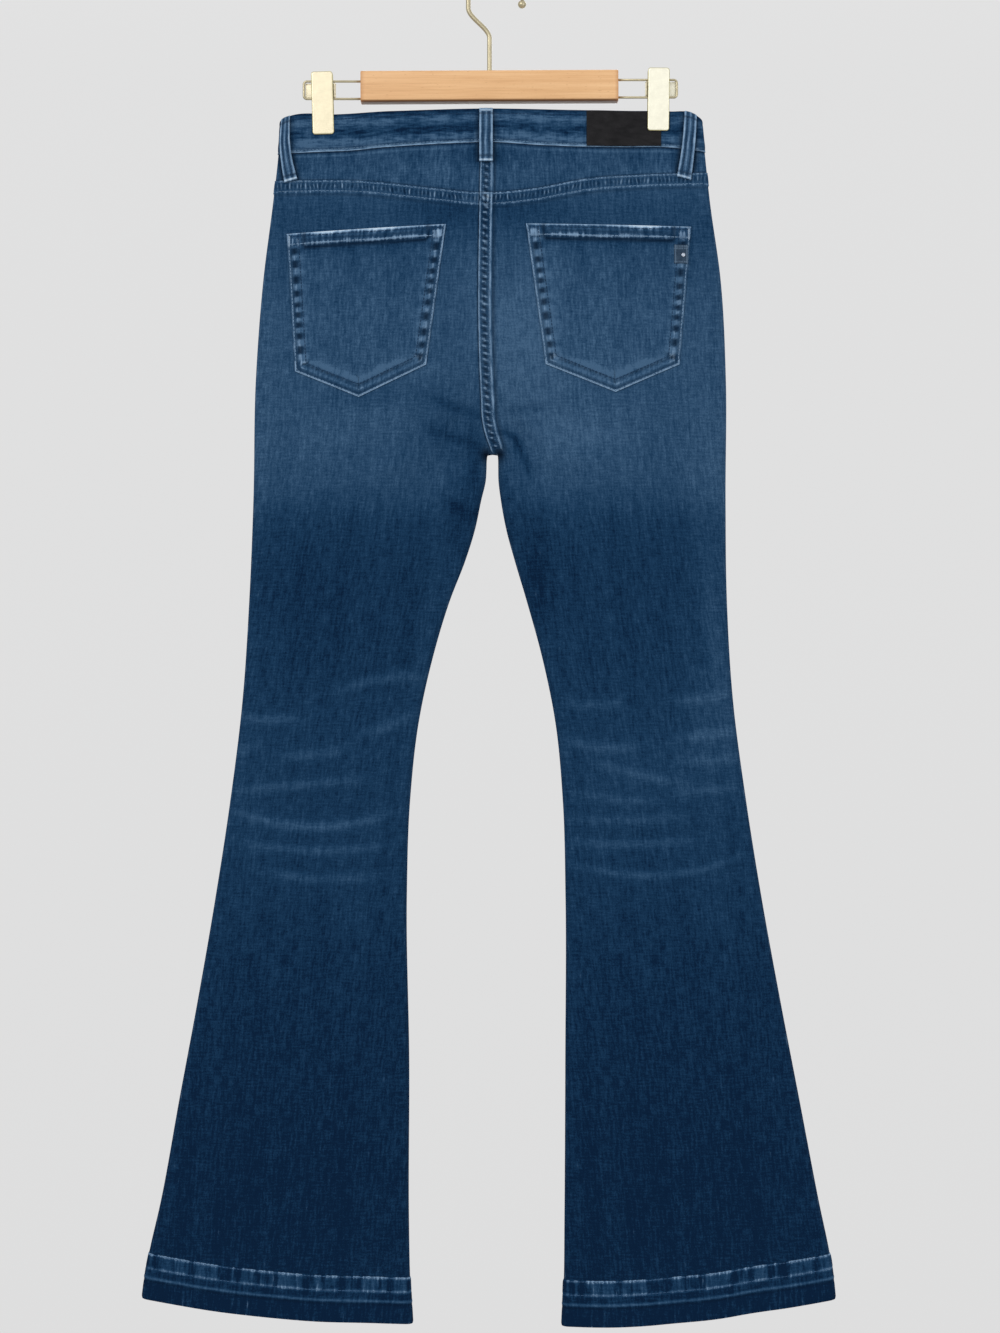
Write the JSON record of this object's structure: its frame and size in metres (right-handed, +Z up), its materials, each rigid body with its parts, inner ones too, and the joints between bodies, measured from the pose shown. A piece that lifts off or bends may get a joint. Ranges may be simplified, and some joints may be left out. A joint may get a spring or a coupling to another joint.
{
  "type": "flared jeans on a clip hanger",
  "caption": "Flared blue jeans, hung flat by the waistband from a wooden hanger with metal clips and a hook; waist and legs are open and hollow.",
  "frame": {"origin": "where a rail bears inside the top of the hanger's hook", "axes": "+Z up, the jeans hang down from it; the seat of the jeans faces -Y and the fly +Y, so +X is the wearer's right"},
  "size_m": [0.6393, 0.0531, 1.2492],
  "materials": {
    "denim": "indigo cotton twill, matt, washed",
    "faded_denim": "indigo cotton twill, matt, faded",
    "dark_denim": "indigo cotton twill, matt, folded double",
    "belt_loop_denim": "indigo cotton twill, worn pale at the edges",
    "patch_leather": "black, plain and bare",
    "grey_tab": "grey tape, bare",
    "stud_metal": "polished",
    "button_metal": "antique, bare",
    "beech": "clear satin varnish",
    "gold_wire": "pale gold plating, satin",
    "clip_metal": "pale gold plating, bright",
    "spring_metal": "dark gold plating, in shade"
  },
  "bodies": {
    "root": {"back_left": "denim", "back_right": "denim", "front_left": "denim", "front_right": "denim", "yoke_left": "faded_denim", "yoke_right": "faded_denim", "pocket_facing_left": "faded_denim", "pocket_facing_right": "faded_denim", "back_pocket_left": "faded_denim", "back_pocket_right": "faded_denim", "waistband_back": "dark_denim", "waistband_front_left": "dark_denim", "waistband_front_right": "dark_denim", "hem_left": "dark_denim", "hem_right": "dark_denim", "belt_loop_back_centre": "belt_loop_denim", "belt_loop_back_left": "belt_loop_denim", "belt_loop_back_right": "belt_loop_denim", "belt_loop_front_left": "belt_loop_denim", "belt_loop_front_right": "belt_loop_denim", "patch": "patch_leather", "pocket_tab": "grey_tab", "pocket_stud": "stud_metal", "waist_button": "button_metal", "hanger_bar": "beech", "hanger_hook": "gold_wire", "hanger_hook_tip": "gold_wire", "hanger_wire_left": "gold_wire", "hanger_wire_right": "gold_wire", "clip_left_back": "clip_metal", "clip_left_front": "clip_metal", "clip_right_back": "clip_metal", "clip_right_front": "clip_metal", "clip_left_spring": "spring_metal", "clip_right_spring": "spring_metal"}
  },
  "joints": []
}
